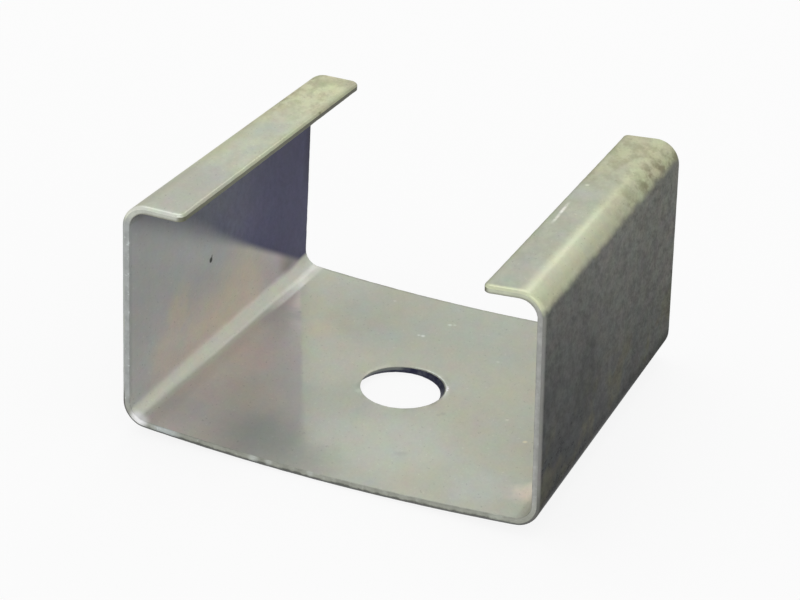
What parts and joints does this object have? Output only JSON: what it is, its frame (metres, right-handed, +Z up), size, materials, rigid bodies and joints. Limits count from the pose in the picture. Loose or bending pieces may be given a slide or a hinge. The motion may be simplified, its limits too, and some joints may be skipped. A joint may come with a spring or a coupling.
{
  "type": "mounting plate",
  "caption": "Mounting plate folded from thin zinc-plated steel sheet: a short lipped channel, open at the top and both ends, with a round bolt hole in its bowed base.",
  "frame": {"origin": "middle of the base's footprint, on the surface that the plate stands on", "axes": "+X across the base towards the right wall, +Y along the bends, +Z up towards the lips"},
  "size_m": [0.055, 0.05, 0.0312],
  "materials": {
    "zinc_plated_sheet": "satin zinc plating, lightly handled"
  },
  "bodies": {
    "root": {"mounting_plate": "zinc_plated_sheet"}
  },
  "joints": []
}
